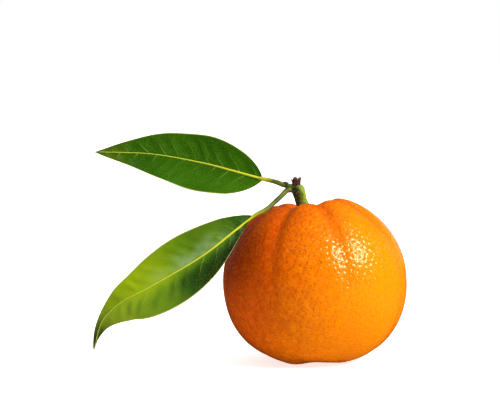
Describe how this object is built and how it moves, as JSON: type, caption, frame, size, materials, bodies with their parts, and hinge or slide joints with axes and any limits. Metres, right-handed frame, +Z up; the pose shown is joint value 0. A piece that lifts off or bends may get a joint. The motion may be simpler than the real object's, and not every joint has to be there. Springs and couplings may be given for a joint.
{
  "type": "mandarin",
  "caption": "Whole fresh mandarin, a slightly flattened orange citrus fruit with furrowed sides, on a short green twig with glossy pointed leaves.",
  "frame": {"origin": "on the flat spot that the fruit rests on, straight below its middle", "axes": "+Z up through the fruit, -X towards the leaves, -Y towards the side that the leaves' upper faces look to"},
  "size_m": [0.1088, 0.0635, 0.0793],
  "materials": {
    "peel": "waxy pitted citrus peel, bright orange, semi-gloss",
    "calyx_green": "dull green woody button",
    "twig_bark": "young green bark, brown on its shaded side, fine ridges",
    "dry_wood": "dry dark brown broken wood, matt",
    "bud_scale": "dark brown-green bud scales, matt",
    "leaf_stalk": "yellow-green leaf stalk, satin",
    "leaf_blade": "deep green waxy leaf with pale yellow veins, paler underneath"
  },
  "bodies": {
    "root": {"fruit": "peel", "calyx": "calyx_green", "stem": "twig_bark", "dry_stub": "dry_wood", "axil_bud": "bud_scale", "upper_petiole": "leaf_stalk", "lower_petiole": "leaf_stalk", "upper_leaf": "leaf_blade", "lower_leaf": "leaf_blade"}
  },
  "joints": []
}
